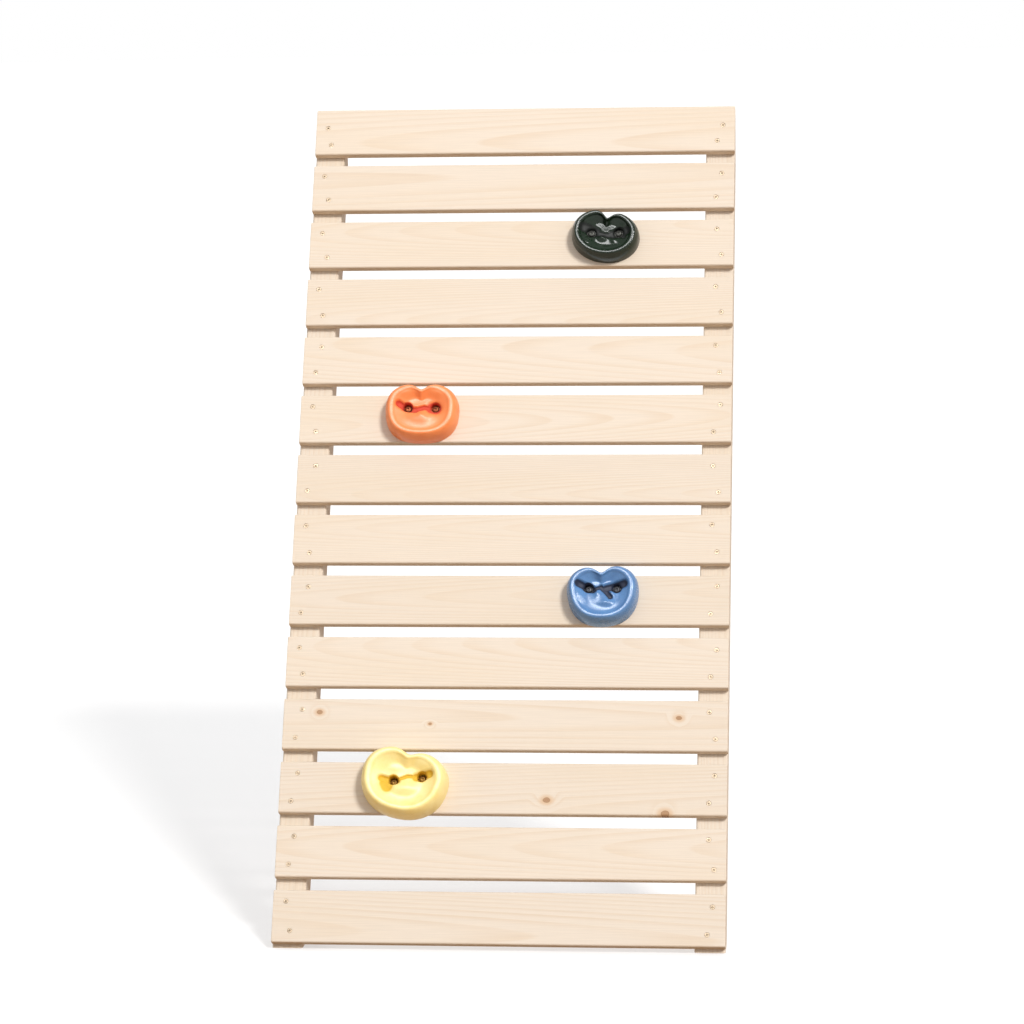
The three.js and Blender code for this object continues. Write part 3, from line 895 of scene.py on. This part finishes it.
def hold_mesh(hold):
    """The moulded body with a counterbored hole for each bolt, its back face at z = 0."""
    outline = [outline_point(hold, 2 * math.pi * step / HOLD_ANGLES) for step in range(HOLD_ANGLES)]
    rings = []
    for share in hold_rings():
        rings.append([(share * x, share * y, surface_height(hold, share, share * x, share * y))
                      for x, y in outline])
    middle = (0, 0, surface_height(hold, 0, 0, 0))
    body = ring_stack(f"hold_{hold['colour']}_body", rings, first_point=middle)
    above_bead = hold["depth"] + 5
    profile = [(HOLD_BOLT_HOLE_RADIUS, -CUT_PAST), (HOLD_BOLT_HOLE_RADIUS, COUNTERBORE_FLOOR),
               (COUNTERBORE_RADIUS, COUNTERBORE_FLOOR), (COUNTERBORE_RADIUS, above_bead)]
    cutters = [turned("counterbore", profile, 64, x - hold["x"], y - hold["up"])
               for x, y in bolt_places(hold)]
    body = cut(body, joined(cutters))
    # How much painted shade each point gets, which the plastic reads as its recess attribute.
    recess = body.attributes.new("recess", "FLOAT", "POINT")
    for vertex, value in zip(body.vertices, recess.data):
        value.value = painted_shade_share(hold, vertex.co.x / MM, vertex.co.y / MM)
    return body


def make_holds():
    """Every hold with its two bolts, washers and tee nuts."""
    # Each plastic's third colour is the painted shade in its grooves and bolt recesses.
    plastics = {
        "green": plastic("green_plastic", (0.008, 0.021, 0.009), (0.003, 0.006, 0.003),
                         (0.002, 0.003, 0.002), 0.16, specular=0.36, speckle=0.5),
        "orange": plastic("orange_plastic", (0.95, 0.285, 0.085), (0.86, 0.190, 0.040),
                          (0.60, 0.040, 0.010), 0.40),
        "blue": plastic("blue_plastic", (0.105, 0.250, 0.510), (0.040, 0.110, 0.290),
                        (0.007, 0.010, 0.032), 0.26),
        "yellow": plastic("yellow_plastic", (0.955, 0.790, 0.340), (0.900, 0.650, 0.130),
                          (0.70, 0.42, 0.008), 0.38),
    }
    # Black plating, tinted a little with a painted reflection of the colour of the plastic close around
    # it.
    bolt_steels_painted_reflection = {
        "green": plated_steel("black_steel_in_green", (0.055, 0.055, 0.050), 0.48),
        "orange": plated_steel("black_steel_painted_orange_reflection", (0.230, 0.070, 0.032), 0.50),
        "blue": plated_steel("black_steel_painted_blue_reflection", (0.060, 0.062, 0.070), 0.48),
        "yellow": plated_steel("black_steel_painted_yellow_reflection", (0.250, 0.135, 0.035), 0.50),
    }
    zinc_steel = plated_steel("zinc_steel", (0.62, 0.62, 0.60), 0.34)
    for hold in HOLDS:
        colour = hold["colour"]
        seat = Matrix.Translation((hold["x"] * MM, hold["up"] * MM, GAP * MM))
        body = placed(f"hold_{colour}_body", hold_mesh(hold), slat_place(hold["slat"]) @ seat)
        shade(body, 40)
        finish_piece(body, plastics[colour], f"plastic_{colour}", f"hold_{colour}")
        fasteners = (
            ("bolt", bolt_mesh, bolt_steels_painted_reflection[colour], "black_steel"),
            ("washer", washer_mesh, bolt_steels_painted_reflection[colour], "black_steel"),
            ("tee_nut", tee_nut_mesh, zinc_steel, "zinc_steel"),
        )
        for side_name, (x, y) in zip(("left", "right"), bolt_places(hold)):
            axis = slat_place(hold["slat"]) @ Matrix.Translation((x * MM, y * MM, 0))
            ending = f"{colour}_{side_name}"
            for kind, make_mesh, steel, slot in fasteners:
                piece = placed(f"{kind}_{ending}", make_mesh(), axis)
                shade(piece, 30)
                finish_piece(piece, steel, slot, f"hold_{kind}_{ending}")


# ---------- hold fasteners ----------

def bolt_mesh():
    """A button-head bolt with a hex socket, its axis on z and its head seated on its washer."""
    sides = 36
    tip = BOLT_SEAT - BOLT_LENGTH
    thread_to = BOLT_SEAT - BOLT_PLAIN_LENGTH
    thread_core = BOLT_SHANK_RADIUS - BOLT_THREAD_DEPTH
    rim_ease = 0.2
    rings = [circle(BOLT_SHANK_RADIUS - 1.0, tip, sides)]
    rings += threaded(thread_core, BOLT_SHANK_RADIUS, tip + 0.8, thread_to, BOLT_PITCH, sides)
    rings.append(circle(BOLT_SHANK_RADIUS, thread_to + BOLT_THREAD_DEPTH, sides))
    rings.append(circle(BOLT_SHANK_RADIUS, BOLT_SEAT, sides))
    rings.append(circle(BOLT_HEAD_RADIUS - rim_ease, BOLT_SEAT, sides))
    rings.append(circle(BOLT_HEAD_RADIUS, BOLT_SEAT + rim_ease, sides))
    dome_height = (BOLT_HEAD_HEIGHT - BOLT_DOME_FROM) / math.sin(BOLT_DOME_TURN)
    dome_steps = 8
    for step in range(dome_steps + 1):
        turn = step / dome_steps * BOLT_DOME_TURN
        height = BOLT_DOME_FROM + dome_height * math.sin(turn)
        rings.append(circle(BOLT_HEAD_RADIUS * math.cos(turn), BOLT_SEAT + height, sides))
    top = BOLT_SEAT + BOLT_HEAD_HEIGHT
    bottom = top - HEX_SOCKET_DEPTH
    wall = HEX_SOCKET_RADIUS
    socket = [(0.4, bottom - 0.7), (wall * 0.92, bottom), (wall, bottom + 0.05), (wall, top - 0.3),
              (wall + 0.5, top + 0.2)]
    return cut(ring_stack("bolt", rings), turned("socket", socket, 6))


def washer_mesh():
    """A flat washer with eased edges."""
    low, high = WASHER_BACK, WASHER_BACK + WASHER_THICKNESS
    inner, outer, ease = WASHER_HOLE_RADIUS, WASHER_RADIUS, EDGE_EASE
    profile = [(inner, low + ease), (inner, high - ease), (inner + ease, high), (outer - ease, high),
               (outer, high - ease), (outer, low + ease), (outer - ease, low), (inner + ease, low)]
    return ring_loop("washer", [circle(radius, height, 48) for radius, height in profile])


def tee_nut_mesh():
    """A tee nut: a flange with a bite where each of its four prongs was bent out, and a bored barrel."""
    sides = 72
    bite_depth = 2.6
    bite_floor, bite_edge = 0.13, 0.22  # angles from a bite's middle
    ease = EDGE_EASE
    front, back = TEE_NUT_FRONT, TEE_NUT_FRONT - TEE_NUT_THICKNESS
    top = front + TEE_NUT_BARREL_LENGTH
    # Each ring of points is (radius, height, whether the bites go into it).
    flange, barrel, bore = TEE_NUT_RADIUS, TEE_NUT_BARREL_RADIUS, TEE_NUT_BORE_RADIUS
    profile = [(flange - ease, back, 1), (flange, back + ease, 1), (flange, front, 1), (barrel, front, 0),
               (barrel, top - ease, 0), (barrel - ease, top, 0), (bore, top, 0), (bore, back + ease, 0),
               (bore + ease, back, 0)]
    rings = []
    for radius, height, is_bitten in profile:
        ring = []
        for side in range(sides):
            turn = 2 * math.pi * side / sides
            quarter = (turn + math.pi / 4) % (math.pi / 2) - math.pi / 4
            bite = bite_depth * (1 - smoothstep(abs(quarter), bite_floor, bite_edge)) * is_bitten
            ring.append(((radius - bite) * math.cos(turn), (radius - bite) * math.sin(turn), height))
        rings.append(ring)
    return ring_loop("tee_nut", rings)


# ---------- floor, lights and camera ----------

FLOOR_RADIUS = 60000
FLOOR_GLOW = 0.5  # keeps the wall's own shadow on the floor faint
# The light from below, which warms the undersides, and from the horizon and above.
GROUND_GLOW = (0.33, 0.165, 0.042)
HORIZON_GLOW = (1.0, 1.0, 1.0)
SKY_GLOW = (0.62, 0.62, 0.63)
# Where each of them begins and ends, from 0 straight down to 1 straight up.
GLOW_STOPS = [(0.0, GROUND_GLOW), (0.47, GROUND_GLOW), (0.485, HORIZON_GLOW), (0.53, HORIZON_GLOW),
              (0.62, SKY_GLOW), (1.0, SKY_GLOW)]
# Each sun: name, the direction it shines from, strength, angular size in degrees, tint.
SUNS = [
    ("key_sun", (0.50, -0.72, 0.75), 2.5, 11, (1.0, 0.985, 0.96)),
    ("back_sun", (-0.6, 0.9, 0.5), 0.7, 30, (1.0, 1.0, 1.0)),
]
# Panels that show only as reflections: name, direction, distance, width, height, power.
SOFTBOXES = [
    ("front_panel", (-0.09, -0.67, 0.74), 4.0, 1.9, 1.9, 200),
    ("side_panel", (0.85, -0.45, 0.45), 4.0, 0.5, 1.8, 60),
]
EYE = (0.50, -5.16, 1.39)  # metres
LENS = 122


def make_stage():
    """A pale floor that throws no light back at the wall, and a soft white sky with a key light."""
    profile = [(FLOOR_RADIUS, -6), (FLOOR_RADIUS, -1), (FLOOR_RADIUS - 10, 0)]
    floor = placed("studio_floor", turned("studio_floor", profile, 96), Matrix())
    nodes = Nodes("studio_floor")
    tone = nodes.noise(nodes.coordinates.outputs["Object"], 3, detail=2)
    nodes.link(nodes.mix(tone, (0.50, 0.50, 0.50), (0.53, 0.53, 0.53)), nodes.shader.inputs["Base Color"])
    nodes.shader.inputs["Roughness"].default_value = 0.9
    nodes.shader.inputs["Specular IOR Level"].default_value = 0.0
    nodes.shader.inputs["Emission Color"].default_value = (1, 1, 1, 1)
    nodes.shader.inputs["Emission Strength"].default_value = FLOOR_GLOW
    floor.data.materials.append(nodes.material)
    floor.visible_diffuse = False

    world = bpy.data.worlds.new("studio_sky")
    bpy.context.scene.world = world
    world.use_nodes = True
    tree = world.node_tree
    place = tree.nodes.new("ShaderNodeTexCoord")
    split = tree.nodes.new("ShaderNodeSeparateXYZ")
    level = tree.nodes.new("ShaderNodeMath")
    level.operation = "MULTIPLY_ADD"
    level.inputs[1].default_value = 0.5
    level.inputs[2].default_value = 0.5
    ramp = tree.nodes.new("ShaderNodeValToRGB")
    tree.links.new(place.outputs["Generated"], split.inputs[0])
    tree.links.new(split.outputs["Z"], level.inputs[0])
    tree.links.new(level.outputs[0], ramp.inputs[0])
    elements = ramp.color_ramp.elements
    while len(elements) < len(GLOW_STOPS):
        elements.new(0.5)
    for element, (height, colour) in zip(elements, GLOW_STOPS):
        element.position = height
        element.color = (*colour, 1)
    tree.links.new(ramp.outputs["Color"], tree.nodes["Background"].inputs["Color"])

    for name, direction, strength, spread, tint in SUNS:
        lamp = bpy.data.lights.new(name, "SUN")
        lamp.energy = strength
        lamp.angle = math.radians(spread)
        lamp.color = tint
        sun = bpy.data.objects.new(name, lamp)
        bpy.context.scene.collection.objects.link(sun)
        sun.rotation_mode = "QUATERNION"
        sun.rotation_quaternion = Vector(direction).to_track_quat("Z", "Y")

    for name, direction, distance, width, height, power in SOFTBOXES:
        lamp = bpy.data.lights.new(name, "AREA")
        lamp.shape = "RECTANGLE"
        lamp.size, lamp.size_y = width, height
        lamp.energy = power
        box = bpy.data.objects.new(name, lamp)
        bpy.context.scene.collection.objects.link(box)
        towards = Vector(direction).normalized()
        box.location = Vector((0, 0, WALL_TOP / 2 * MM)) + towards * distance
        box.rotation_mode = "QUATERNION"
        box.rotation_quaternion = towards.to_track_quat("Z", "Y")
        box.visible_camera = False
        box.visible_diffuse = False


def make_camera(low, high):
    """The viewpoint: in front of the wall, looking at its middle from a little to the right."""
    camera = bpy.data.objects.new("camera", bpy.data.cameras.new("camera"))
    bpy.context.scene.collection.objects.link(camera)
    bpy.context.scene.camera = camera
    eye = Vector(EYE)
    ahead = ((low + high) / 2 - eye).normalized()
    across = Vector((1, 0, 0))
    up = across.cross(ahead).normalized()
    right = ahead.cross(up)
    camera.matrix_world = Matrix.Translation(eye) @ Matrix((right, up, -ahead)).transposed().to_4x4()
    camera.data.lens = LENS
    camera.data.clip_end = 200


# ---------- the scene ----------

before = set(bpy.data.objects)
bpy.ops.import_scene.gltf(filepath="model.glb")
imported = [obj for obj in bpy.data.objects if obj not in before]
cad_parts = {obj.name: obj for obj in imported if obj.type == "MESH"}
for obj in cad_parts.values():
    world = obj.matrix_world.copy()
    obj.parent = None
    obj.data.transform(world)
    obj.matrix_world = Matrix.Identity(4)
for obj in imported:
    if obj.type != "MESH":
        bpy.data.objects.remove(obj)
cad_low, cad_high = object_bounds()

make_slats()
make_beams()
make_holds()
make_stage()
make_camera(cad_low, cad_high)
bpy.context.scene.view_settings.view_transform = "Standard"
